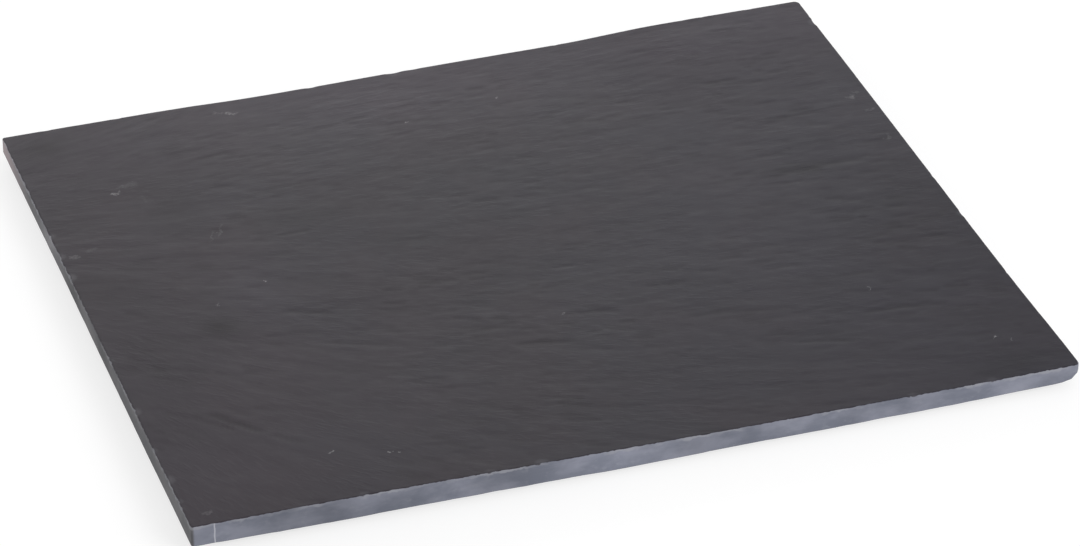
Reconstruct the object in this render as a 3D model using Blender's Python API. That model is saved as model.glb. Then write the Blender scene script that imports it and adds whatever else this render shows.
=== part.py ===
"""Stone slab for leather work: a plate of split slate with sawn edges, on four stick-on foot pads.

The origin is at the centre of the footprint, on the surface that the slab stands on.
+X runs along the slab's length, +Y towards its back edge and +Z up. All sizes are in metres.
"""

import math

import bmesh
import bpy

# The stone plate.
LENGTH = 0.300
WIDTH = 0.255
ARRIS_WIDTH = 0.0004  # the edges are rubbed down to this width
LARGEST_FACET = 0.05  # across the facets that make up the split face

# Split faces are never quite parallel, so the plate has its own thickness at each corner.
THICKNESS_FRONT_LEFT = 0.0076
THICKNESS_FRONT_RIGHT = 0.0057
THICKNESS_BACK_RIGHT = 0.0078
THICKNESS_BACK_LEFT = 0.0056

# The corners are worn by different amounts.
RADIUS_FRONT_LEFT = 0.0010
RADIUS_FRONT_RIGHT = 0.0040
RADIUS_BACK_RIGHT = 0.0020
RADIUS_BACK_LEFT = 0.0015
STEPS_PER_CORNER = 6

# The rubber foot pads, each held by a disc of double-sided tape.
PAD_DIAMETER = 0.020
PAD_THICKNESS = 0.0020
PAD_MARGIN = 0.012  # clear stone between a pad and the plate's edges
PAD_EDGE_WIDTH = 0.0003
TAPE_THICKNESS = 0.0005
TAPE_SETBACK = 0.0005  # the tape stops this far inside the pad's rim
ROUND_STEPS = 48
CLEARANCE = 0.0003  # between pieces that touch

TAPE_BOTTOM = PAD_THICKNESS + CLEARANCE
UNDERSIDE = TAPE_BOTTOM + TAPE_THICKNESS + CLEARANCE


def clear_scene():
    for obj in list(bpy.data.objects):
        bpy.data.objects.remove(obj, do_unlink=True)


def material(name, colour, roughness, metallic=0.0):
    """A plain Principled finish."""
    made = bpy.data.materials.new(name)
    made.use_nodes = True
    shader = made.node_tree.nodes["Principled BSDF"]
    shader.inputs["Base Color"].default_value = (*colour, 1.0)
    shader.inputs["Roughness"].default_value = roughness
    shader.inputs["Metallic"].default_value = metallic
    made.diffuse_color = (*colour, 1.0)
    return made


def add_object(name, bm, finish, location=(0.0, 0.0, 0.0)):
    """Turns a bmesh into a named object."""
    mesh = bpy.data.meshes.new(name)
    bm.to_mesh(mesh)
    bm.free()
    mesh.materials.append(finish)
    obj = bpy.data.objects.new(name, mesh)
    obj.location = location
    bpy.context.scene.collection.objects.link(obj)
    return obj


def add_bevel(obj, width):
    """Breaks the sharp edges of an object, but not the shallow ones between its facets."""
    bevel = obj.modifiers.new("Broken edges", "BEVEL")
    bevel.width = width
    bevel.segments = 1
    bevel.limit_method = "ANGLE"
    bevel.angle_limit = math.radians(60)


def thickness_at(x, y):
    """The plate's thickness at a point, blended straight from its corners."""
    across = x / LENGTH + 0.5
    back = y / WIDTH + 0.5
    front_edge = THICKNESS_FRONT_LEFT + (THICKNESS_FRONT_RIGHT - THICKNESS_FRONT_LEFT) * across
    back_edge = THICKNESS_BACK_LEFT + (THICKNESS_BACK_RIGHT - THICKNESS_BACK_LEFT) * across
    return front_edge + (back_edge - front_edge) * back


def plate_outline():
    """The plate seen from above, anticlockwise from the front left corner, with rounded corners."""
    corners = (
        (-1, -1, RADIUS_FRONT_LEFT),
        (1, -1, RADIUS_FRONT_RIGHT),
        (1, 1, RADIUS_BACK_RIGHT),
        (-1, 1, RADIUS_BACK_LEFT),
    )
    points = []
    for turn, (side_x, side_y, radius) in enumerate(corners):
        centre_x = side_x * (LENGTH / 2 - radius)
        centre_y = side_y * (WIDTH / 2 - radius)
        for step in range(STEPS_PER_CORNER + 1):
            angle = math.radians(180 + 90 * (turn + step / STEPS_PER_CORNER))
            points.append((centre_x + radius * math.cos(angle), centre_y + radius * math.sin(angle)))
    return points


def cut_into_facets(bm, top, length, axis):
    """Cuts the flat top into even strips across one axis, 0 for X or 1 for Y."""
    strips = math.ceil(length / LARGEST_FACET)
    normal = [0.0, 0.0, 0.0]
    normal[axis] = 1.0
    for strip in range(1, strips):
        place = [0.0, 0.0, 0.0]
        place[axis] = length * (strip / strips - 0.5)
        faces = [face for face in bm.faces if all(vert in top for vert in face.verts)]
        edges = {edge for face in faces for edge in face.edges}
        verts = {vert for face in faces for vert in face.verts}
        parts = [*verts, *edges, *faces]
        cut = bmesh.ops.bisect_plane(bm, geom=parts, dist=1e-7, plane_co=place, plane_no=normal)
        top.update(item for item in cut["geom_cut"] if isinstance(item, bmesh.types.BMVert))


def build_slab(finish):
    """The stone plate: a flat underside, square edges and a split face that twists a little."""
    bm = bmesh.new()
    base = bm.faces.new([bm.verts.new((x, y, 0.0)) for x, y in plate_outline()])
    raised = bmesh.ops.extrude_face_region(bm, geom=[base], use_keep_orig=True)
    top = {item for item in raised["geom"] if isinstance(item, bmesh.types.BMVert)}
    for vert in top:
        vert.co.z = THICKNESS_FRONT_LEFT
    cut_into_facets(bm, top, LENGTH, 0)
    cut_into_facets(bm, top, WIDTH, 1)
    for vert in top:
        vert.co.z = thickness_at(vert.co.x, vert.co.y)
    bmesh.ops.recalc_face_normals(bm, faces=bm.faces)
    slab = add_object("stone_slab", bm, finish, location=(0.0, 0.0, UNDERSIDE))
    add_bevel(slab, ARRIS_WIDTH)


def build_disc(name, place, bottom, diameter, thickness, finish):
    """A round flat piece, standing on the height given."""
    bm = bmesh.new()
    bmesh.ops.create_cone(
        bm,
        cap_ends=True,
        segments=ROUND_STEPS,
        radius1=diameter / 2,
        radius2=diameter / 2,
        depth=thickness,
    )
    disc = add_object(name, bm, finish, location=(*place, bottom + thickness / 2))
    disc.data.shade_smooth()
    disc.data.set_sharp_from_angle(angle=math.radians(40))
    return disc


def build_feet(rubber, tape):
    """A pad and its tape near each corner, one PAD_MARGIN in from both edges."""
    pad_x = LENGTH / 2 - PAD_MARGIN - PAD_DIAMETER / 2
    pad_y = WIDTH / 2 - PAD_MARGIN - PAD_DIAMETER / 2
    tape_diameter = PAD_DIAMETER - 2 * TAPE_SETBACK
    places = {
        "front_left": (-pad_x, -pad_y),
        "front_right": (pad_x, -pad_y),
        "back_right": (pad_x, pad_y),
        "back_left": (-pad_x, pad_y),
    }
    for corner, place in places.items():
        pad = build_disc(f"foot_pad_{corner}", place, 0.0, PAD_DIAMETER, PAD_THICKNESS, rubber)
        add_bevel(pad, PAD_EDGE_WIDTH)
        build_disc(f"tape_disc_{corner}", place, TAPE_BOTTOM, tape_diameter, TAPE_THICKNESS, tape)


clear_scene()
build_slab(material("split slate", (0.075, 0.070, 0.078), 0.55))
build_feet(
    material("black rubber", (0.018, 0.018, 0.019), 0.85),
    material("white foam tape", (0.62, 0.61, 0.57), 0.60),
)
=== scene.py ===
"""The looks of a split slate slab for leather work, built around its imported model.

+X runs along the slab's length, +Y towards its back edge and +Z up. All sizes are in metres.
"""

import math

import bpy
import numpy as np
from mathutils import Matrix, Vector


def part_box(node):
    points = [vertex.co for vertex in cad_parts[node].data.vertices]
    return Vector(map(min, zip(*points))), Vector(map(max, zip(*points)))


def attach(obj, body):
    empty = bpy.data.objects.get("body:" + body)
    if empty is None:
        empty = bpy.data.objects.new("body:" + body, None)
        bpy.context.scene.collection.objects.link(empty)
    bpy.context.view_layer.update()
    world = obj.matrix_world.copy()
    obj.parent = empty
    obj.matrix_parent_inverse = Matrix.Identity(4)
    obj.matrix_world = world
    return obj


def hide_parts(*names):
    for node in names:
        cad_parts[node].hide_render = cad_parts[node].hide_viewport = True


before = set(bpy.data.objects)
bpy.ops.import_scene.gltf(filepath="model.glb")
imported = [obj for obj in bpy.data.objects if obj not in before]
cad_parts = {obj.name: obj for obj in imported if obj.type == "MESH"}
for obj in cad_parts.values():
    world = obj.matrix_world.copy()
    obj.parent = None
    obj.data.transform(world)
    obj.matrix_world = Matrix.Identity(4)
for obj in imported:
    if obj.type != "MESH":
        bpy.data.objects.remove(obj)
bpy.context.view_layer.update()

MM = 0.001

# --- The stone plate --------------------------------------------------------------------------
# One piece of slate, split along its cleavage, so that its faces are finely rippled, stepped by
# the thin layers and not quite parallel. Its edges are sawn and rubbed with a stone, which leaves
# them square, smooth and paler than the split faces, with a thin rough arris along the top.

plate_low, plate_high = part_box("stone_slab")
HALF_LENGTH = (plate_high.x - plate_low.x) / 2
HALF_WIDTH = (plate_high.y - plate_low.y) / 2
UNDERSIDE = plate_low.z
COLUMNS = 228  # cells of the split face along the length, an even number
ROWS = 320  # cells across the width, an even number
EDGE_ZONE = 6 * MM  # the cells are smaller this near the edges

# The plate from above: worn corners and edges that aren't quite straight.
CORNER_RADII = {
    (-1, -1): 1.0 * MM,
    (1, -1): 1.9 * MM,
    (1, 1): 2.0 * MM,
    (-1, 1): 0.7 * MM,
}
WORN_REACH = 4.5 * MM  # how far the front right corner is worn, and how deep at its foot
WORN_DEPTH = 1.5 * MM
EDGE_WANDER = 0.05 * MM
RIGHT_EDGE = (0.25, -0.25, -0.05, 0.15, -0.35)  # mm out from straight, from front to back

# How far the split faces stand off true along an edge, in mm at even steps from left to right.
TOP_AT_FRONT = (0.1, 0.4, 0.15, -0.2, -0.2, 0.2)
TOP_AT_BACK = (0.25, 0.2, -0.55, -0.3, -0.35, 0.8, 0.6)
SOLE_AT_FRONT = (0.15, -0.35, -0.85, -0.8, -0.8, -0.15)
SOLE_AT_LEFT = (0.05, -0.15, 0.3, 0.0)  # from front to back
EDGE_REACH = 70 * MM  # over which an edge's own shape fades into the face

# Where the face is rippled more or less: (share of the length, of the width, reaches, change).
ROUGH_ZONES = (
    (0.88, 0.55, 22 * MM, 90 * MM, 0.5),
    (0.45, 0.30, 70 * MM, 35 * MM, 0.3),
    (0.24, 0.80, 18 * MM, 30 * MM, 0.35),
    (0.60, 0.85, 60 * MM, 30 * MM, 0.25),
    (0.06, 0.70, 18 * MM, 60 * MM, -0.3),
    (0.10, 0.10, 50 * MM, 50 * MM, -0.35),
)

# Small flakes that have come away along the grain, scattered over the face.
FLAKES = 3000
MAP_CELL = 0.5 * MM

# The larger scars: (share of the length, of the width, length, width, lean in degrees, strength).
SCARS = (
    (0.885, 0.563, 38 * MM, 5.0 * MM, 0, 1.0),
    (0.840, 0.535, 9 * MM, 2.0 * MM, 0, 0.9),
    (0.850, 0.198, 24 * MM, 3.0 * MM, -4, 1.2),
    (0.750, 0.153, 20 * MM, 2.6 * MM, -14, 1.0),
    (0.877, 0.370, 18 * MM, 2.6 * MM, 0, 0.8),
    (0.232, 0.428, 20 * MM, 3.4 * MM, -22, 1.3),
    (0.394, 0.348, 11 * MM, 2.2 * MM, -26, 0.9),
    (0.530, 0.312, 22 * MM, 2.8 * MM, -12, 0.9),
    (0.267, 0.335, 22 * MM, 2.6 * MM, -24, 0.9),
    (0.460, 0.262, 22 * MM, 2.4 * MM, -14, 1.0),
    (0.530, 0.430, 9 * MM, 2.0 * MM, -6, 1.1),
    (0.265, 0.625, 14 * MM, 2.6 * MM, 0, 1.1),
    (0.095, 0.205, 26 * MM, 3.0 * MM, -48, 1.3),
    (0.140, 0.150, 14 * MM, 2.4 * MM, -44, 0.8),
    (0.440, 0.653, 24 * MM, 4.0 * MM, -14, 0.5),
    (0.620, 0.345, 11 * MM, 2.2 * MM, -8, 0.8),
    (0.840, 0.820, 15 * MM, 2.4 * MM, 0, 1.0),
    (0.690, 0.250, 38 * MM, 3.0 * MM, -10, 0.6),
    (0.450, 0.075, 15 * MM, 2.4 * MM, -18, 0.9),
    (0.450, 0.130, 12 * MM, 2.2 * MM, -24, 0.8),
    (0.220, 0.855, 16 * MM, 2.6 * MM, 8, 0.7),
    (0.230, 0.790, 14 * MM, 2.4 * MM, 4, 0.7),
    (0.900, 0.700, 20 * MM, 2.6 * MM, 0, 0.7),
)

# The arris, and the chips knocked out of it: (share of the length, share of the width, size).
ARRIS = 0.28 * MM
KNOWN_CHIPS = (
    (0.383, 0.0, 3.0 * MM),
    (0.0, 0.06, 2.0 * MM),
    (0.0, 0.11, 3.0 * MM),
    (0.0, 0.18, 1.8 * MM),
)
SMALL_CHIPS = 36
CHIP_DEPTH = 0.15  # of its size
BRUISE_FULL = 0.4 * MM  # a chip this deep is bruised all over

VEIN_PLACE = 7.6 * MM  # a thin quartz vein through the front edge, from its left end
VEIN_HALF = (0.08 * MM, 0.34 * MM)  # its half width where it is whitest and where it ends

# How high the relief of the split faces is.
PLATE_WAVES = 0.08 * MM
LAYER_STEP = 0.040 * MM
LONG_SWELLS = 0.040  # this one and the next three are in mm
SHORT_SWELLS = 0.018
SCAR_DEPTH = 0.080
FLAKE_DEPTH = 0.065
SOLE_LAYER_STEP = 0.10 * MM
SOLE_SWELLS = 0.08 * MM
SOLE_LAYER_LEFT_ON = 0.25 * MM  # one thick layer under the middle of the front edge
PAD_SEAT = 10 * MM  # the underside is flat this far around a pad's middle
FINE_RELIEF = 0.035 * MM  # of the ripples that are finer than the mesh


def noise(x, y, seed):
    """Smooth seeded noise between about -1 and 1, with one swell to a unit."""
    turns = np.random.default_rng(seed).random((128, 128)) * 2 * math.pi
    left = np.floor(x).astype(int)
    below = np.floor(y).astype(int)
    total = 0.0
    for step_x in (0, 1):
        for step_y in (0, 1):
            away_x = x - left - step_x
            away_y = y - below - step_y
            turn = turns[(left + step_x) % 128, (below + step_y) % 128]
            fade = (1 - smooth(np.abs(away_x))) * (1 - smooth(np.abs(away_y)))
            total = total + fade * (np.cos(turn) * away_x + np.sin(turn) * away_y)
    return 1.5 * total


def smooth(share):
    """Eases a share from 0 to 1."""
    share = np.clip(share, 0, 1)
    return share * share * share * (share * (share * 6 - 15) + 10)


def through(share, values):
    """Eases from one value to the next at even steps, in mm."""
    place = np.clip(share, 0, 1) * (len(values) - 1)
    step = np.minimum(place.astype(int), len(values) - 2)
    values = np.array(values) * MM
    return values[step] + (values[step + 1] - values[step]) * smooth(place - step)


def grain_direction(x, y):
    """Which way the ripples run, in degrees: level on the right, falling to the near left corner."""
    left = (1 - x / HALF_LENGTH) / 2
    front = np.clip((1 - y / HALF_WIDTH) / 2, 0, 1)
    return 38 * left**3 * (1 - front) - front**0.6 * (11 + 68 * left**3)


def ripples(x, y, length, spacing, seed):
    """Noise drawn out along the grain: swells of that length, that far apart."""
    total = 0.0
    weights = 0.0
    direction = grain_direction(x, y)
    for step, angle in enumerate(range(-90, 46, 15)):
        share = np.clip(1 - np.abs(direction - angle) / 15, 0, 1)
        turn = math.radians(angle)
        along = x * math.cos(turn) + y * math.sin(turn)
        across = y * math.cos(turn) - x * math.sin(turn)
        total = total + share * noise(along / length, across / spacing, seed + step)
        weights = weights + share**2
    return total / np.sqrt(weights)


def grid_lines(half, cells):
    """Places from edge to edge, closer together near the edges, where the corners are round."""
    middles = np.abs((np.arange(cells) + 0.5) / cells * 2 - 1)
    steps = 1 - 0.6 * np.exp((middles - 1) * half / EDGE_ZONE)
    lines = np.concatenate(([0.0], np.cumsum(steps)))
    return (2 * lines / lines[-1] - 1) * half


cad_points = np.array([vert.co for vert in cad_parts["stone_slab"].data.vertices])


def cad_height(side_x, side_y):
    """How high the plate's top is at one of its corners."""
    away = np.hypot(cad_points[:, 0] - side_x * HALF_LENGTH, cad_points[:, 1] - side_y * HALF_WIDTH)
    return cad_points[away < 10 * MM, 2].max()


FRONT_LEFT = cad_height(-1, -1)
FRONT_RIGHT = cad_height(1, -1)
BACK_RIGHT = cad_height(1, 1)
BACK_LEFT = cad_height(-1, 1)


def steps_of_layers(level, height, sharpness):
    """Turns smooth swells into thin layers that end in low steps."""
    whole = np.floor(level)
    return height * (whole + smooth((level - whole - 0.5) * sharpness + 0.5))


def top_height(x, y):
    """The upper split face: its corners' heights blended, a hollow at the back, steps and ripples."""
    across = x / HALF_LENGTH / 2 + 0.5
    back = y / HALF_WIDTH / 2 + 0.5
    front_edge = FRONT_LEFT + (FRONT_RIGHT - FRONT_LEFT) * across
    back_edge = BACK_LEFT + (BACK_RIGHT - BACK_LEFT) * across
    height = front_edge + (back_edge - front_edge) * back
    height += through(across, TOP_AT_FRONT) * smooth(1 - (y + HALF_WIDTH) / EDGE_REACH)
    height += through(across, TOP_AT_BACK) * smooth(1 - (HALF_WIDTH - y) / EDGE_REACH)
    height += PLATE_WAVES * noise(x / 0.09, y / 0.05, 11)
    level = 2.2 * noise(x / 0.11, y / 0.045, 12) + 1.1 * ripples(x, y, 0.035, 0.009, 40)
    height += steps_of_layers(level, LAYER_STEP, 4)
    swells = LONG_SWELLS * ripples(x, y, 0.013, 0.0060, 60)
    swells = swells + SHORT_SWELLS * ripples(x, y, 0.0065, 0.0032, 80)
    height += MM * (swells * roughness(x, y) - SCAR_DEPTH * scarred(x, y))
    return height - MM * FLAKE_DEPTH * flaked(x, y)


def flake_map():
    """Where thin flakes have come away along the grain, from 0 to 1, drawn on a fine map of the face."""
    draw = np.random.default_rng(9)
    reach = np.array((HALF_LENGTH, HALF_WIDTH))
    depth = np.zeros((np.ceil(2 * reach / MAP_CELL).astype(int) + 2))
    places = draw.uniform(-1, 1, (FLAKES, 2)) * reach
    leans = np.radians(grain_direction(places[:, 0], places[:, 1]) + draw.normal(0, 4, FLAKES))
    sizes = draw.uniform((4.0, 1.2), (11.0, 2.0), (FLAKES, 2)) * MM
    rough = np.clip(roughness(places[:, 0], places[:, 1]), 0, 1.5)
    strengths = draw.uniform(0.15, 1.0, FLAKES) ** 1.5 * rough
    for place, lean, (length, width), strength in zip(places, leans, sizes, strengths):
        low = np.clip(((place + reach - length) / MAP_CELL).astype(int), 0, None)
        high = ((place + reach + length) / MAP_CELL).astype(int)
        window = depth[low[0]:high[0], low[1]:high[1]]
        across_x, across_y = np.indices(window.shape)
        off_x = (across_x + low[0]) * MAP_CELL - HALF_LENGTH - place[0]
        off_y = (across_y + low[1]) * MAP_CELL - HALF_WIDTH - place[1]
        along = (off_x * math.cos(lean) + off_y * math.sin(lean)) * 2 / length
        across = (off_y * math.cos(lean) - off_x * math.sin(lean)) / width
        gone = strength * smooth((1 - along**2) * 1.5) * smooth(1 - np.abs(across))
        np.maximum(window, gone, out=window)
    return depth


def flaked(x, y):
    """The flake map read between its cells."""
    place_x = np.clip((x + HALF_LENGTH) / MAP_CELL, 0, flakes_gone.shape[0] - 1.001)
    place_y = np.clip((y + HALF_WIDTH) / MAP_CELL, 0, flakes_gone.shape[1] - 1.001)
    left = place_x.astype(int)
    below = place_y.astype(int)
    share_x = place_x - left
    share_y = place_y - below
    near = flakes_gone[left, below] * (1 - share_x) + flakes_gone[left + 1, below] * share_x
    far = flakes_gone[left, below + 1] * (1 - share_x) + flakes_gone[left + 1, below + 1] * share_x
    return near * (1 - share_y) + far * share_y


def scarred(x, y):
    """The larger scars: each is steep on its near side and eases out on its far side."""
    depth = 0.0
    for u, v, length, width, lean, strength in SCARS:
        off_x = x - (u * 2 - 1) * HALF_LENGTH
        off_y = y - (v * 2 - 1) * HALF_WIDTH
        turn = math.radians(lean)
        along = (off_x * math.cos(turn) + off_y * math.sin(turn)) * 2 / length
        across = (off_y * math.cos(turn) - off_x * math.sin(turn)) / width
        ends = smooth((1 - along**2) * 1.5)
        depth = depth + strength * ends * smooth(1 - across) * smooth(1 + across * 2.5)
    return depth


def roughness(x, y):
    """How strongly the split face is rippled, about 1."""
    value = 0.68 + 0.50 * noise(x / 0.035, y / 0.022, 220)
    for u, v, reach_x, reach_y, strength in ROUGH_ZONES:
        away_x = (x - (u * 2 - 1) * HALF_LENGTH) / reach_x
        away_y = (y - (v * 2 - 1) * HALF_WIDTH) / reach_y
        value = value + strength * np.exp(-(away_x**2) - away_y**2)
    return np.maximum(value, 0.3)


flakes_gone = flake_map()


def underside_height(x, y, pads):
    """The lower split face: bowed along the front edge, with one thick layer left on."""
    across = x / HALF_LENGTH / 2 + 0.5
    back = y / HALF_WIDTH / 2 + 0.5
    height = through(across, SOLE_AT_FRONT) * smooth(1 - (y + HALF_WIDTH) / EDGE_REACH)
    height += through(back, SOLE_AT_LEFT) * smooth(1 - (x + HALF_LENGTH) / EDGE_REACH)
    left_on = smooth((across - 0.42) / 0.04) * smooth((0.57 - across) / 0.012)
    layer_reach = 0.07 + 0.02 * noise(x / 0.02, y / 0.02, 21)
    height -= SOLE_LAYER_LEFT_ON * left_on * smooth((layer_reach - (y + HALF_WIDTH)) / 0.004)
    level = 2.0 * noise(x / 0.08, y / 0.05, 22) + 1.0 * ripples(x, y, 0.03, 0.010, 120)
    height += steps_of_layers(level, SOLE_LAYER_STEP, 6)
    height += SOLE_SWELLS * ripples(x, y, 0.025, 0.0070, 140)
    for pad_x, pad_y in pads:
        height *= smooth(np.hypot(x - pad_x, y - pad_y) / PAD_SEAT - 1.0)
    return UNDERSIDE + height


def chips(seed):
    """The chips along one arris: those that are known, then small ones at random."""
    draw = np.random.default_rng(seed)
    found = [((u * 2 - 1) * HALF_LENGTH, (v * 2 - 1) * HALF_WIDTH, size) for u, v, size in KNOWN_CHIPS]
    for _ in range(SMALL_CHIPS):
        along = draw.uniform(-1, 1)
        size = MM * (1.2 + 2.2 * draw.random() ** 3)
        side = draw.choice((-1, 1))
        if draw.random() < HALF_LENGTH / (HALF_LENGTH + HALF_WIDTH):
            found.append((along * HALF_LENGTH, side * HALF_WIDTH, size))
        else:
            found.append((side * HALF_LENGTH, along * HALF_WIDTH, size))
    return found


def bite(x, y, found):
    """How deep the chips reach in at a point of the edge."""
    depth = np.zeros(np.broadcast(x, y).shape)
    for chip_x, chip_y, size in found:
        near = 1 - ((x - chip_x) ** 2 + (y - chip_y) ** 2) / size**2
        depth = np.maximum(depth, CHIP_DEPTH * size * np.clip(near, 0, 1))
    return depth


column_lines = grid_lines(HALF_LENGTH, COLUMNS)
row_lines = grid_lines(HALF_WIDTH, ROWS)


def edge_loop(grid):
    """The rim of a grid, anticlockwise from its front left corner."""
    return np.concatenate((grid[:-1, 0], grid[-1, :-1], grid[:0:-1, -1], grid[0, :0:-1]))


def drawn_in(arris, bites_deep, found):
    """The face's grid, rounded at its corners, with each edge drawn in by its wander and its arris."""
    x, y = np.meshgrid(column_lines, row_lines, indexing="ij")
    from_edge = (x + HALF_LENGTH, HALF_LENGTH - x, y + HALF_WIDTH, HALF_WIDTH - y)
    for (side_x, side_y), radius in CORNER_RADII.items():
        out_x = np.clip((side_x * x - HALF_LENGTH + radius) / radius, 0, 1)
        out_y = np.clip((side_y * y - HALF_WIDTH + radius) / radius, 0, 1)
        corner = (out_x > 0) & (out_y > 0)
        pull_x = radius * out_x * (1 - np.sqrt(1 - out_y**2 / 2))
        pull_y = radius * out_y * (1 - np.sqrt(1 - out_x**2 / 2))
        x = x - np.where(corner, side_x * pull_x, 0)
        y = y - np.where(corner, side_y * pull_y, 0)

    def inset(place_x, place_y, seed):
        wander = EDGE_WANDER * (1 + noise((place_x + place_y) / 0.06, place_x * 0, seed))
        return wander + arris + bites_deep * bite(place_x, place_y, found)

    fall = [np.clip(1 - away / EDGE_ZONE, 0, 1) for away in from_edge]
    x = x + fall[0] * inset(-HALF_LENGTH, row_lines, 31)[None, :]
    right = through(row_lines / HALF_WIDTH / 2 + 0.5, RIGHT_EDGE)
    x = x - fall[1] * (inset(HALF_LENGTH, row_lines, 32) - right)[None, :]
    y = y + fall[2] * inset(column_lines, -HALF_WIDTH, 33)[:, None]
    y = y - fall[3] * inset(column_lines, HALF_WIDTH, 34)[:, None]
    return x, y


def worn(x, y, down):
    """Draws the foot of the front right corner in, where the slab has been stood on it."""
    near = np.exp(-(np.hypot(x - HALF_LENGTH, y + HALF_WIDTH) / WORN_REACH) ** 2)
    pull = WORN_DEPTH * smooth((down - 0.35) / 0.75) * near
    return x - pull, y + 0.6 * pull


def squares(number, upward):
    """The faces of a grid of point numbers, turned to face up or down."""
    corners = (number[:-1, :-1], number[1:, :-1], number[1:, 1:], number[:-1, 1:])
    if not upward:
        corners = (corners[0], corners[3], corners[2], corners[1])
    return np.stack(corners, -1).reshape(-1, 4)


def build_plate(pads):
    """The plate as one closed mesh: the top, bands down the edge, and a coarser underside."""
    upper = chips(5)
    lower = chips(6)
    top_x, top_y = drawn_in(ARRIS, 1.0, upper)
    top_z = top_height(top_x, top_y)
    points = [np.stack((top_x, top_y, top_z), -1).reshape(-1, 3)]
    number = np.arange(top_x.size).reshape(top_x.shape)
    faces = [squares(number, upward=True)]
    cut = [np.zeros(top_x.size)]
    bruise = [np.clip(bite(top_x, top_y, upper) / BRUISE_FULL, 0, 1).ravel()]
    below = [np.zeros(top_x.size)]
    # The tone factor of each point, which carries the painted sheen and painted shade of the split faces.
    shade = [tone_with_painted_light(top_x, top_y).ravel()]
    rim = edge_loop(number)

    rim_z = edge_loop(top_z)
    rim_bite = bite(edge_loop(top_x), edge_loop(top_y), upper)
    sole_x, sole_y = worn(*(grid[::2, ::2] for grid in drawn_in(ARRIS, 1.0, lower)), 1.0)
    sole_z = underside_height(sole_x, sole_y, pads)
    wall_x, wall_y = (edge_loop(grid) for grid in drawn_in(0.0, 0.0, upper))
    foot_z = underside_height(wall_x, wall_y, pads)
    crest_x, crest_y = (edge_loop(grid) for grid in drawn_in(0.3 * ARRIS, 0.5, upper))
    drop = ARRIS + 1.2 * rim_bite
    tall = rim_z - drop - foot_z - ARRIS
    bands = [(crest_x, crest_y, rim_z - 0.3 * drop, 0.5)]
    for down in np.linspace(0, 1, 6):
        bands.append((*worn(wall_x, wall_y, 0.93 * down), rim_z - drop - tall * down, 1.0))
    count = top_x.size
    for band_x, band_y, band_z, sawn in bands:
        points.append(np.stack((band_x, band_y, band_z), -1))
        ring = count + np.arange(len(band_x))
        faces.append(np.stack((rim, ring, np.roll(ring, -1), np.roll(rim, -1)), -1))
        cut.append(np.full(len(band_x), sawn))
        bruise.append(np.clip(rim_bite / BRUISE_FULL, 0, 1) * (sawn < 1))
        below.append(rim_z - band_z)
        shade.append(edge_tone(band_x, band_y))
        count += len(band_x)
        rim = ring

    points.append(np.stack((sole_x, sole_y, sole_z), -1).reshape(-1, 3))
    number = count + np.arange(sole_x.size).reshape(sole_x.shape)
    faces.append(squares(number, upward=False))
    cut.append(np.zeros(sole_x.size))
    bruise.append(np.zeros(sole_x.size))
    below.append(np.full(sole_x.size, plate_high.z - UNDERSIDE))
    shade.append(tone_with_painted_light(-sole_x, -sole_y).ravel())
    inner = edge_loop(number)
    after = np.roll(rim, -2)[::2]
    arris_faces = np.stack((rim[::2], inner, np.roll(inner, -1), after, rim[1::2]), -1)

    mesh = bpy.data.meshes.new("slate_plate")
    quads = [tuple(face) for group in faces for face in group.tolist()]
    mesh.from_pydata(np.concatenate(points).tolist(), [], quads + arris_faces.tolist())
    mesh.shade_smooth()
    mesh.set_sharp_from_angle(angle=math.radians(28))
    where = np.concatenate(points)
    marks = {
        "sawn": np.concatenate(cut),
        "bruise": np.concatenate(bruise),
        "below": np.concatenate(below) / MM,
        "grain": np.radians(grain_direction(where[:, 0], where[:, 1])),
        "tone_with_painted_light": np.concatenate(shade),
    }
    for name, values in marks.items():
        mark = mesh.attributes.new(name, "FLOAT", "POINT")
        mark.data.foreach_set("value", values.astype(np.float32))
    return mesh


# Light and dark areas of the split face; the pale ones along the back edge are a painted sheen: (share of
# the length, of the width, reaches, strength).
TONE_AND_SHEEN_PATCHES = (
    (0.133, 0.43, 6 * MM, 6 * MM, -0.38),
    (0.28, 0.66, 20 * MM, 10 * MM, -0.20),
    (0.37, 0.56, 12 * MM, 8 * MM, -0.15),
    (0.15, 0.74, 10 * MM, 22 * MM, -0.16),
    (0.04, 0.95, 10 * MM, 8 * MM, -0.30),
    (0.05, 0.35, 22 * MM, 35 * MM, -0.14),
    (0.19, 0.50, 10 * MM, 22 * MM, 0.16),
    # Painted sheen: the next three pale the face along its back edge, where a back lamp would glance off
    # it.
    (0.43, 1.00, 80 * MM, 38 * MM, 0.34),
    (0.44, 0.93, 16 * MM, 20 * MM, 0.10),
    (0.95, 1.00, 55 * MM, 30 * MM, 0.14),
    (0.00, 0.70, 35 * MM, 60 * MM, -0.14),
    (1.00, 0.40, 45 * MM, 60 * MM, -0.16),
    (0.95, 0.10, 50 * MM, 40 * MM, -0.10),
    (0.02, 0.56, 22 * MM, 12 * MM, -0.14),
    (0.87, 0.57, 16 * MM, 5 * MM, -0.14),
    (0.93, 0.03, 12 * MM, 6 * MM, -0.20),
)


def tone_with_painted_light(x, y):
    """How pale the stone is, as a factor on its colour, with a painted sheen along the back edge and
    painted shade in the flakes and scars.
    """
    value = 1 + 0.05 * noise(x / 0.05, y / 0.03, 51) + 0.05 * ripples(x, y, 0.03, 0.008, 160)
    # Painted shade: the face is darker in the flakes and scars, as if their pits lay in shade.
    value = value - 0.20 * flaked(x, y) - 0.16 * scarred(x, y)
    for u, v, reach_x, reach_y, strength in TONE_AND_SHEEN_PATCHES:
        away_x = (x - (u * 2 - 1) * HALF_LENGTH) / reach_x
        away_y = (y - (v * 2 - 1) * HALF_WIDTH) / reach_y
        value = value + strength * np.exp(-(away_x**2) - away_y**2)
    return value
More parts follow.
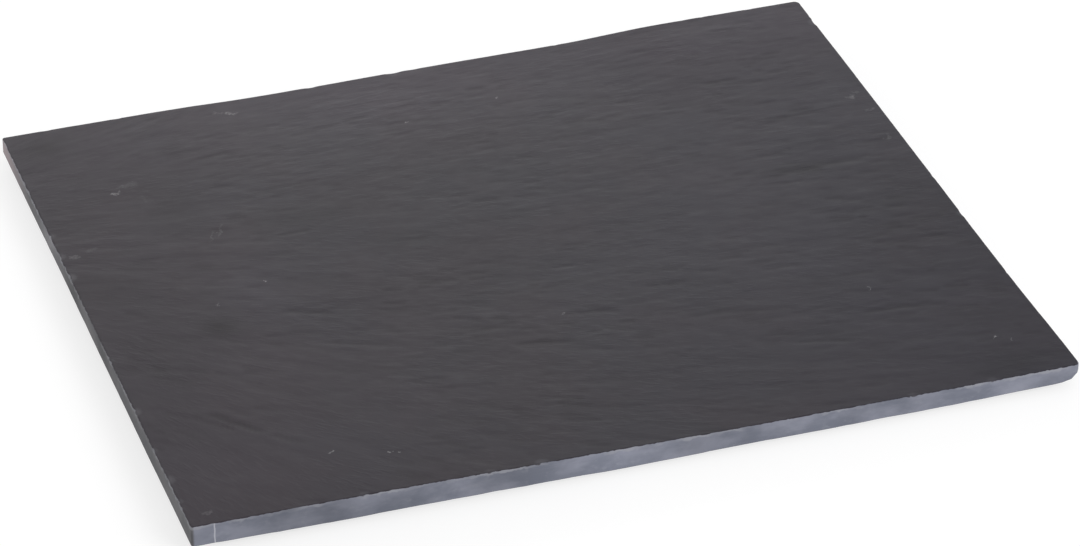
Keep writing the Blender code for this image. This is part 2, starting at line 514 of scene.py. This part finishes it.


# Light and dark areas of the sawn edges: (share of the length, of the width, reach, strength).
EDGE_PATCHES = (
    (0.13, 0.0, 18 * MM, -0.24),
    (0.23, 0.0, 14 * MM, -0.13),
    (0.04, 0.0, 8 * MM, -0.04),
    (0.33, 0.0, 12 * MM, -0.16),
    (0.42, 0.0, 12 * MM, 0.12),
    (0.49, 0.0, 14 * MM, 0.22),
    (0.55, 0.0, 12 * MM, -0.10),
    (0.68, 0.0, 12 * MM, 0.10),
    (0.89, 0.0, 12 * MM, 0.14),
    (0.0, 0.98, 14 * MM, 0.25),
    (0.0, 0.83, 8 * MM, -0.16),
    (0.0, 0.72, 12 * MM, 0.50),
    (0.0, 0.60, 10 * MM, -0.34),
    (0.0, 0.42, 14 * MM, -0.36),
    (0.0, 0.22, 22 * MM, -0.14),
)


def edge_tone(x, y):
    """How pale the sawn edge is, as a factor on its colour."""
    value = 1 + 0.08 * noise(x / 0.012 + 5, y / 0.012, 52)
    for u, v, reach, strength in EDGE_PATCHES:
        away = np.hypot(x - (u * 2 - 1) * HALF_LENGTH, y - (v * 2 - 1) * HALF_WIDTH)
        value = value + strength * np.exp(-((away / reach) ** 2))
    return value


class Finish:
    """A material that is put together node by node."""

    def __init__(self, name):
        self.material = bpy.data.materials.new(name)
        self.material.use_nodes = True
        self.tree = self.material.node_tree
        self.shader = self.tree.nodes["Principled BSDF"]

    def set(self, node, inputs):
        for name, value in inputs.items():
            socket = node.inputs[name]
            if isinstance(value, bpy.types.NodeSocket):
                self.tree.links.new(value, socket)
            elif isinstance(value, tuple) and len(value) == 3 and socket.type == "RGBA":
                socket.default_value = (*value, 1.0)
            else:
                socket.default_value = value

    def node(self, kind, inputs, **settings):
        made = self.tree.nodes.new("ShaderNode" + kind)
        for name, value in settings.items():
            setattr(made, name, value)
        self.set(made, inputs)
        return made.outputs

    def place(self, scale=(1, 1, 1)):
        """The point's own place in metres, stretched by a scale."""
        point = self.node("TexCoord", {})["Object"]
        return self.node("VectorMath", {0: point, 1: scale}, operation="MULTIPLY")["Vector"]

    def attribute(self, name):
        return self.node("Attribute", {}, attribute_name=name)["Fac"]

    def noise(self, where, scale, detail=2.0, roughness=0.5):
        inputs = {"Vector": where, "Scale": scale, "Detail": detail, "Roughness": roughness}
        return self.node("TexNoise", inputs)["Fac"]

    def math(self, operation, a, b=0.0, clamp=False):
        return self.node("Math", {0: a, 1: b}, operation=operation, use_clamp=clamp)["Value"]

    def between(self, value, low, high, out_low=0.0, out_high=1.0):
        inputs = {
            "Value": value,
            "From Min": low,
            "From Max": high,
            "To Min": out_low,
            "To Max": out_high,
        }
        return self.node("MapRange", inputs, interpolation_type="SMOOTHSTEP")["Result"]

    def mix(self, share, a, b):
        inputs = {0: share, 6: a, 7: b}
        return self.node("Mix", inputs, data_type="RGBA")[2]

    def mix_value(self, share, a, b):
        inputs = {0: share, 2: a, 3: b}
        return self.node("Mix", inputs, data_type="FLOAT")[0]

    def scale_colour(self, colour, factor):
        return self.node("VectorMath", {0: colour, 3: factor}, operation="SCALE")["Vector"]


# Pale scuffs and flecks on the top face: (share of the slab's length, of its width, length, width,
# direction in degrees, strength).
SCUFFS = (
    (0.2545, 0.970, 5.5 * MM, 1.8 * MM, -20, 0.16),
    (0.270, 0.963, 5.0 * MM, 3.0 * MM, -30, 0.32),
    (0.0935, 0.803, 2.2 * MM, 2.4 * MM, 20, 0.62),
    (0.099, 0.808, 1.6 * MM, 1.6 * MM, 20, 0.40),
    (0.107, 0.818, 6.0 * MM, 3.0 * MM, 25, 0.10),
    (0.118, 0.820, 5.0 * MM, 3.0 * MM, -40, 0.09),
    (0.123, 0.778, 7.0 * MM, 3.4 * MM, -70, 0.07),
    (0.015, 0.662, 4.0 * MM, 2.6 * MM, 10, 0.28),
    (0.040, 0.672, 6.0 * MM, 2.6 * MM, 20, 0.12),
    (0.175, 0.655, 9.0 * MM, 1.4 * MM, 68, 0.12),
    (0.186, 0.665, 11.0 * MM, 1.6 * MM, 68, 0.14),
    (0.205, 0.522, 1.2 * MM, 0.8 * MM, 0, 0.7),
    (0.143, 0.486, 1.2 * MM, 0.7 * MM, 60, 0.5),
    (0.459, 0.860, 1.6 * MM, 1.1 * MM, 0, 0.6),
    (0.579, 0.882, 1.2 * MM, 1.0 * MM, 0, 0.6),
    (0.500, 0.320, 1.0 * MM, 0.8 * MM, 0, 0.5),
    (0.177, 0.106, 1.8 * MM, 1.4 * MM, 60, 0.8),
    (0.236, 0.080, 1.6 * MM, 1.2 * MM, 60, 0.7),
    (0.244, 0.080, 1.6 * MM, 1.2 * MM, 60, 0.7),
    (0.026, 0.026, 4.0 * MM, 2.6 * MM, 0, 0.22),
    (0.933, 0.094, 2.2 * MM, 1.0 * MM, 55, 0.9),
    (0.948, 0.082, 1.4 * MM, 1.0 * MM, 55, 0.9),
    (0.840, 0.256, 3.0 * MM, 0.6 * MM, 65, 0.5),
    (0.976, 0.724, 3.6 * MM, 3.0 * MM, 0, 0.30),
    (0.985, 0.735, 3.0 * MM, 2.0 * MM, 0, 0.16),
    (0.987, 0.684, 6.0 * MM, 1.8 * MM, 10, 0.14),
    (0.982, 0.606, 5.0 * MM, 1.8 * MM, 60, 0.16),
)


def scuff_marks(finish):
    """A mask of all the scuffs: each is a soft-ended stroke in its own place and direction."""
    group = bpy.data.node_groups.new("scuff", "ShaderNodeTree")
    for name in ("X", "Y", "Turn", "Length", "Width", "Strength", "Across X", "Across Y"):
        group.interface.new_socket(name, in_out="INPUT", socket_type="NodeSocketFloat")
    group.interface.new_socket("Mask", in_out="OUTPUT", socket_type="NodeSocketFloat")
    nodes = group.nodes
    given = nodes.new("NodeGroupInput").outputs
    result = nodes.new("NodeGroupOutput").inputs["Mask"]

    def calc(operation, a, b=0.0):
        node = nodes.new("ShaderNodeMath")
        node.operation = operation
        for socket, value in zip(node.inputs, (a, b)):
            if isinstance(value, bpy.types.NodeSocket):
                group.links.new(value, socket)
            else:
                socket.default_value = value
        return node.outputs[0]

    off_x = calc("SUBTRACT", given["Across X"], given["X"])
    off_y = calc("SUBTRACT", given["Across Y"], given["Y"])
    cos = calc("COSINE", given["Turn"])
    sin = calc("SINE", given["Turn"])
    along = calc("ADD", calc("MULTIPLY", off_x, cos), calc("MULTIPLY", off_y, sin))
    across = calc("SUBTRACT", calc("MULTIPLY", off_y, cos), calc("MULTIPLY", off_x, sin))
    along = calc("DIVIDE", along, given["Length"])
    across = calc("DIVIDE", across, given["Width"])
    away = calc("ADD", calc("MULTIPLY", along, along), calc("MULTIPLY", across, across))
    body = calc("MAXIMUM", calc("SUBTRACT", 1.0, calc("MULTIPLY", away, 4.0)), 0.0)
    group.links.new(calc("MULTIPLY", body, given["Strength"]), result)

    split = finish.node("SeparateXYZ", {0: finish.place()})
    ragged = finish.noise(finish.place(), 450.0, 3.0, 0.6)
    ragged_too = finish.noise(finish.place((-1, -1, 1)), 450.0, 3.0, 0.6)
    shift_x = finish.between(ragged, 0.3, 0.7, -1.0 * MM, 1.0 * MM)
    shift_y = finish.between(ragged_too, 0.3, 0.7, -0.8 * MM, 0.8 * MM)
    place_x = finish.math("ADD", split["X"], shift_x)
    place_y = finish.math("ADD", split["Y"], shift_y)
    total = 0.0
    for u, v, length, width, turn, strength in SCUFFS:
        made = finish.tree.nodes.new("ShaderNodeGroup")
        made.node_tree = group
        finish.set(made, {
            "X": (u * 2 - 1) * HALF_LENGTH,
            "Y": (v * 2 - 1) * HALF_WIDTH,
            "Turn": math.radians(turn),
            "Length": length,
            "Width": width,
            "Strength": strength,
            "Across X": place_x,
            "Across Y": place_y,
        })
        total = made.outputs[0] if total == 0.0 else finish.math("MAXIMUM", total, made.outputs[0])
    broken = finish.between(finish.noise(finish.place(), 1300.0, 2.0), 0.35, 0.65, 0.45, 1.25)
    total = finish.math("MULTIPLY", total, broken)
    return finish.math("MULTIPLY", total, finish.between(split["Z"], 6 * MM, 7 * MM))


# The stone's colours, and the painted shade and painted highlight mixed into them.
# Painted shade: the split face's colour in the hollows of its streaks, darker than on the crests.
SLATE_SHADED_HOLLOW = (0.0315, 0.0268, 0.0335)
SLATE_CREST = (0.0360, 0.0313, 0.0385)
SLATE_CLOUD = (0.0300, 0.0295, 0.0375)
SLATE_AT_RIGHT = (0.0305, 0.0285, 0.0412)
SLATE_AT_LEFT_AND_BACK = (0.0361, 0.0268, 0.0366)
SCUFFED = (0.36, 0.355, 0.36)
SAWN_DARK = (0.128, 0.137, 0.172)
SAWN_PALE = (0.198, 0.206, 0.250)
SAWN_MOTTLE = (0.235, 0.240, 0.275)
SAW_SCRATCH = (0.24, 0.245, 0.27)
# Painted shade: the left sawn edge is darkened, as it faces away from the front lamp.
LEFT_EDGE_PAINTED_SHADE = (0.59, 0.555, 0.49)  # a factor on the sawn edge's colour
# A pale pink colour for the back of the left edge.
PINK_PATCH = (0.250, 0.205, 0.215)
QUARTZ = (0.46, 0.46, 0.50)
# Painted highlight: a pale line along the top arris of the sawn edges.
ARRIS_HIGHLIGHT = (0.27, 0.275, 0.30)
BRUISED = (0.24, 0.24, 0.26)


def slate_finish():
    """Split slate with sawn edges, told apart by the mesh's own marks."""
    finish = Finish("split slate")
    grain = finish.attribute("grain")
    place = finish.place()
    split = finish.node("SeparateXYZ", {0: place})

    def streaks(length, spacing, detail):
        """Noise drawn out along the grain, around 0, as the ripples are."""
        total = None
        for degrees in range(-80, 41, 20):
            angle = math.radians(degrees)
            off = finish.math("ABSOLUTE", finish.math("SUBTRACT", grain, angle))
            off = finish.math("DIVIDE", off, math.radians(20))
            share = finish.math("SUBTRACT", 1.0, off, clamp=True)
            turn = {"Vector": place, "Angle": -angle}
            lined_up = finish.node("VectorRotate", turn, rotation_type="Z_AXIS")["Vector"]
            drawn = {0: lined_up, 1: (1 / length, 1 / spacing, 1 / length)}
            drawn = finish.node("VectorMath", drawn, operation="MULTIPLY")["Vector"]
            swell = finish.math("SUBTRACT", finish.noise(drawn, 1.0, detail), 0.5)
            layer = finish.math("MULTIPLY", swell, share)
            total = layer if total is None else finish.math("ADD", total, layer)
        return total

    long_streaks = streaks(5.0 * MM, 1.5 * MM, 1.0)
    flakes = finish.between(long_streaks, -0.02, 0.14)
    fine = streaks(2.2 * MM, 0.8 * MM, 2.0)
    patchy = finish.between(finish.noise(place, 60.0, 3.0), 0.38, 0.62, 0.35, 1.0)
    speckle = finish.math("SUBTRACT", finish.noise(place, 1800.0, 2.0, 0.6), 0.5)
    relief = finish.math("MULTIPLY", flakes, 0.45)
    relief = finish.math("ADD", relief, finish.math("MULTIPLY", fine, 0.5))
    relief = finish.math("MULTIPLY", relief, patchy)
    relief = finish.math("ADD", relief, finish.math("MULTIPLY", speckle, 0.15))

    # Painted shade: the split face is darker in the hollows of the streaks and paler on their crests.
    depth = finish.between(long_streaks, -0.15, 0.15)
    face = finish.mix(depth, SLATE_SHADED_HOLLOW, SLATE_CREST)
    hue = finish.between(finish.noise(place, 28.0, 3.0), 0.35, 0.65)
    face = finish.mix(finish.math("MULTIPLY", hue, 0.5), face, SLATE_CLOUD)
    to_right = finish.between(split["X"], -30 * MM, HALF_LENGTH, 0.0, 0.45)
    face = finish.mix(to_right, face, SLATE_AT_RIGHT)
    to_left = finish.between(split["X"], -HALF_LENGTH, -20 * MM, 0.5, 0.0)
    to_back = finish.between(split["Y"], 50 * MM, HALF_WIDTH, 0.0, 0.4)
    face = finish.mix(finish.math("MAXIMUM", to_left, to_back), face, SLATE_AT_LEFT_AND_BACK)
    face = finish.mix(finish.math("MULTIPLY", scuff_marks(finish), 0.6), face, SCUFFED)

    cloud = finish.noise(finish.place((1, 1, 2.0)), 60.0, 4.0, 0.55)
    edge = finish.mix(finish.between(cloud, 0.32, 0.68), SAWN_DARK, SAWN_PALE)
    mottle = finish.noise(finish.place((1, 1, 1.5)), 260.0, 4.0, 0.6)
    edge = finish.mix(finish.between(mottle, 0.55, 0.75, 0.0, 0.35), edge, SAWN_MOTTLE)
    scratches = finish.noise(finish.place((0.15, 0.15, 6.0)), 600.0, 3.0, 0.6)
    edge = finish.mix(finish.between(scratches, 0.55, 0.75, 0.0, 0.2), edge, SAW_SCRATCH)
    from_left = finish.math("ADD", split["X"], HALF_LENGTH)
    at_left = finish.between(from_left, 0.4 * MM, 1.2 * MM, 1.0, 0.0)
    # Painted shade: the left sawn edge is made darker than the front one.
    shaded_left_edge = {0: edge, 1: LEFT_EDGE_PAINTED_SHADE}
    shaded_left_edge = finish.node("VectorMath", shaded_left_edge, operation="MULTIPLY")["Vector"]
    edge = finish.mix(at_left, edge, shaded_left_edge)
    # Paler and pinker towards the back of the left edge.
    back_left = finish.between(split["Y"], HALF_WIDTH - 45 * MM, HALF_WIDTH)
    blush = finish.math("MULTIPLY", finish.math("MULTIPLY", back_left, at_left), 0.8)
    edge = finish.mix(blush, edge, PINK_PATCH)
    bend = finish.between(finish.noise(place, 200.0), 0.3, 0.7, -0.15 * MM, 0.15 * MM)
    from_vein = finish.math("SUBTRACT", finish.math("ADD", split["X"], bend), VEIN_PLACE - HALF_LENGTH)
    vein = finish.between(finish.math("ABSOLUTE", from_vein), *VEIN_HALF, 0.6, 0.0)
    from_front = finish.math("ADD", split["Y"], HALF_WIDTH)
    at_front = finish.between(from_front, 0.6 * MM, 1.0 * MM, 1.0, 0.0)
    edge = finish.mix(finish.math("MULTIPLY", vein, at_front), edge, QUARTZ)

    sawn = finish.attribute("sawn")
    ragged = finish.between(finish.noise(place, 500.0, 3.0), 0.3, 0.7, -0.35, 0.35)
    is_sawn = finish.between(finish.math("ADD", sawn, ragged), 0.35, 0.65)
    # The tone factor brings in the painted sheen along the back edge and the painted shade in the flakes
    # and scars.
    colour = finish.scale_colour(finish.mix(is_sawn, face, edge), finish.attribute("tone_with_painted_light"))
    # Painted highlight: a pale, broken line along the top arris, where the edge would catch the light.
    arris_highlight_strength = finish.between(finish.noise(finish.place((1, 1, 0.3)), 55.0, 3.0), 0.40, 0.60, 0.05, 0.62)
    fray = finish.between(finish.noise(place, 380.0, 3.0), 0.3, 0.7, -0.5, 0.5)
    near_top = finish.between(finish.math("ADD", finish.attribute("below"), fray), 0.5, 1.3, 1.0, 0.0)
    arris = finish.math("MULTIPLY", is_sawn, finish.math("MULTIPLY", near_top, arris_highlight_strength))
    colour = finish.mix(arris, colour, ARRIS_HIGHLIGHT)
    bruise = finish.math("MULTIPLY", finish.attribute("bruise"), 0.15)
    colour = finish.mix(bruise, colour, BRUISED)

    dull_patches = finish.between(finish.noise(place, 120.0, 4.0), 0.3, 0.7, 0.51, 0.54)
    rough = finish.mix_value(is_sawn, dull_patches, 0.60)
    height = finish.mix_value(is_sawn, relief, finish.math("MULTIPLY", scratches, 0.4))
    normal = finish.node("Bump", {"Height": height, "Distance": FINE_RELIEF, "Strength": 1.0})["Normal"]
    finish.set(finish.shader, {
        "Base Color": colour,
        "Roughness": rough,
        "Specular IOR Level": 0.18,
        "Normal": normal,
    })
    return finish.material


CORNERS = ("front_left", "front_right", "back_right", "back_left")


def middle(node):
    """The middle of a part's box, seen from above."""
    low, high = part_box(node)
    return (low.x + high.x) / 2, (low.y + high.y) / 2


pad_places = [middle("foot_pad_" + corner) for corner in CORNERS]
plate = bpy.data.objects.new("slate_plate", build_plate(pad_places))
bpy.context.scene.collection.objects.link(plate)
plate.data.materials.append(slate_finish())
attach(plate, "root")
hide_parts("stone_slab")

# --- The tape discs ------------------------------------------------------------------------------
# Discs of white foam tape, sticky on both sides, which hold the foot pads to the stone. They are
# die-cut, and the foam swells a little between the pad and the plate.

TAPE_BULGE = 0.12 * MM
CUT_UNEVEN = 0.002  # how uneven the cut is, as a share of the radius
ROUND_STEPS = 96  # points around a round piece


def turned(name, place, profile, rim):
    """A closed round piece turned from (radius, height) points, bottom to top; rim unevens its edge."""
    turns = np.arange(ROUND_STEPS) / ROUND_STEPS * 2 * math.pi
    uneven = 1 + rim * (np.sin(3 * turns + 1) + 0.6 * np.sin(7 * turns) + 0.4 * np.sin(17 * turns + 2))
    points = [(place[0], place[1], profile[0][1])]
    for radius, height in profile:
        for turn, share in zip(turns, uneven):
            reach = radius * share
            points.append((place[0] + reach * math.cos(turn), place[1] + reach * math.sin(turn), height))
    points.append((place[0], place[1], profile[-1][1]))
    last = len(points) - 1
    faces = []
    for step in range(ROUND_STEPS):
        after = (step + 1) % ROUND_STEPS
        faces.append((0, 1 + after, 1 + step))
        for ring in range(len(profile) - 1):
            low = 1 + ring * ROUND_STEPS
            faces.append((low + step, low + after, low + ROUND_STEPS + after, low + ROUND_STEPS + step))
        top = 1 + (len(profile) - 1) * ROUND_STEPS
        faces.append((top + step, top + after, last))
    mesh = bpy.data.meshes.new(name)
    mesh.from_pydata(points, [], faces)
    mesh.shade_smooth()
    mesh.set_sharp_from_angle(angle=math.radians(40))
    made = bpy.data.objects.new(name, mesh)
    bpy.context.scene.collection.objects.link(made)
    return made


def tape_finish():
    """Off-white foam with fine open cells and a little grime."""
    finish = Finish("white foam tape")
    place = finish.place()
    cells = finish.node("TexVoronoi", {"Vector": place, "Scale": 4500.0})["Distance"]
    grime = finish.between(finish.noise(place, 700.0, 4.0), 0.4, 0.7)
    colour = finish.mix(grime, (0.66, 0.65, 0.61), (0.50, 0.48, 0.43))
    normal = finish.node("Bump", {"Height": cells, "Distance": 0.05 * MM, "Strength": 0.6})["Normal"]
    rough = finish.between(grime, 0.0, 1.0, 0.55, 0.75)
    finish.set(finish.shader, {"Base Color": colour, "Roughness": rough, "Normal": normal})
    return finish.material


foam = tape_finish()
for corner, pad_place in zip(CORNERS, pad_places):
    disc_low, disc_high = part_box("tape_disc_" + corner)
    radius = (disc_high.x - disc_low.x) / 2
    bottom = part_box("foot_pad_" + corner)[1].z
    deep = UNDERSIDE - bottom
    bulged = []
    for share in np.linspace(0, 1, 7):
        bulged.append((radius + TAPE_BULGE * math.sin(math.pi * share), bottom + deep * share))
    tape = turned("foam_tape_" + corner, pad_place, bulged, CUT_UNEVEN)
    tape.data.materials.append(foam)
    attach(tape, "root")
    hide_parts("tape_disc_" + corner)

# --- The foot pads -------------------------------------------------------------------------------
# Round pads of black rubber, 20 mm across, pressed out of moulded sheet: a soft edge, a side that
# bulges under the slab's weight, and shallow rings on the sole that grip the bench.

PAD_EDGE = 0.35 * MM
PAD_BULGE = 0.10 * MM
GRIP_RINGS = (3.0 * MM, 5.0 * MM, 7.0 * MM)
GRIP_DEPTH = 0.2 * MM
GRIP_WIDTH = 0.6 * MM
SOLE_MIDDLE = 0.5 * MM  # radius of the plain spot in the middle of the sole


def pad_profile(radius, bottom, top):
    """Half of the pad's section: out along the sole with its grip rings, up the side, in at the top."""
    points = [(SOLE_MIDDLE, bottom)]
    for ring in GRIP_RINGS:
        points.append((ring - GRIP_WIDTH / 2, bottom))
        points.append((ring - GRIP_WIDTH / 4, bottom + GRIP_DEPTH))
        points.append((ring + GRIP_WIDTH / 4, bottom + GRIP_DEPTH))
        points.append((ring + GRIP_WIDTH / 2, bottom))
    for turn in np.radians((-90, -60, -30, 0)):
        inward = PAD_EDGE * (1 - math.cos(turn))
        points.append((radius - inward, bottom + PAD_EDGE * (1 + math.sin(turn))))
    for share in (0.25, 0.5, 0.75):
        side = bottom + PAD_EDGE + (top - bottom - 2 * PAD_EDGE) * share
        points.append((radius + PAD_BULGE * math.sin(math.pi * share), side))
    for turn in np.radians((0, 30, 60, 90)):
        inward = PAD_EDGE * (1 - math.cos(turn))
        points.append((radius - inward, top - PAD_EDGE * (1 - math.sin(turn))))
    return points


def rubber_finish():
    """Matt black rubber with a fine pebbled skin and dust where it is handled."""
    finish = Finish("black rubber")
    place = finish.place()
    pebbles = finish.node("TexVoronoi", {"Vector": place, "Scale": 3200.0}, feature="SMOOTH_F1")["Distance"]
    dust = finish.between(finish.noise(place, 450.0, 5.0, 0.6), 0.48, 0.72)
    colour = finish.mix(dust, (0.016, 0.016, 0.017), (0.045, 0.044, 0.042))
    normal = finish.node("Bump", {"Height": pebbles, "Distance": 0.06 * MM, "Strength": 0.7})["Normal"]
    rough = finish.between(dust, 0.0, 1.0, 0.72, 0.92)
    finish.set(finish.shader, {
        "Base Color": colour,
        "Roughness": rough,
        "Specular IOR Level": 0.4,
        "Normal": normal,
    })
    return finish.material


rubber = rubber_finish()
for corner, pad_place in zip(CORNERS, pad_places):
    pad_low, pad_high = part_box("foot_pad_" + corner)
    radius = (pad_high.x - pad_low.x) / 2
    pad = turned("rubber_pad_" + corner, pad_place, pad_profile(radius, pad_low.z, pad_high.z), 0.0)
    pad.data.materials.append(rubber)
    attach(pad, "root")
    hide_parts("foot_pad_" + corner)

# --- Floor, light and camera --------------------------------------------------------------------
# A plain pale floor that glows a little, so that it stays light around the slab, and three soft
# lamps: two low ones behind and to the left, which bring out the ripples, and one at the front.

bpy.ops.mesh.primitive_plane_add(size=6.0, location=(0.0, 0.0, 0.0))
floor = bpy.context.active_object
floor.name = "floor"
floor_finish = Finish("pale floor")
floor_finish.set(floor_finish.shader, {
    "Base Color": (0.35, 0.35, 0.35),
    "Roughness": 0.9,
    "Specular IOR Level": 0.1,
    "Emission Color": (1.0, 1.0, 1.0),
    "Emission Strength": 0.70,
})
floor.data.materials.append(floor_finish.material)

world = bpy.data.worlds.new("studio")
world.use_nodes = True
world.node_tree.nodes["Background"].inputs["Color"].default_value = (1.0, 1.0, 1.0, 1.0)
world.node_tree.nodes["Background"].inputs["Strength"].default_value = 0.5
bpy.context.scene.world = world


def softbox(name, place, target, width, height, power):
    """A large soft lamp that faces a point."""
    lamp = bpy.data.lights.new(name, "AREA")
    lamp.shape = "RECTANGLE"
    lamp.size = width
    lamp.size_y = height
    lamp.energy = power
    shown = bpy.data.objects.new(name, lamp)
    shown.location = place
    shown.rotation_euler = (Vector(target) - Vector(place)).to_track_quat("-Z", "Y").to_euler()
    bpy.context.scene.collection.objects.link(shown)


softbox("back_softbox", (0.14, 0.95, 0.30), (0.0, 0.1, 0.0), 1.0, 0.25, 3.15)
softbox("left_softbox", (-0.80, 0.75, 0.35), (0.0, 0.0, 0.0), 0.8, 0.25, 2.5)
softbox("front_softbox", (0.9, -1.4, 1.0), (0.0, 0.0, 0.0), 1.2, 0.8, 22.0)

lens = bpy.data.cameras.new("camera")
lens.lens = 163.305
lens.clip_start = 0.05
camera = bpy.data.objects.new("camera", lens)
camera.location = (-0.44361, -1.34202, 0.88145)
camera.rotation_euler = (math.radians(90 - 31.990), 0.0, math.radians(-18.555))
bpy.context.scene.collection.objects.link(camera)
bpy.context.scene.camera = camera
bpy.context.scene.view_settings.view_transform = "Standard"
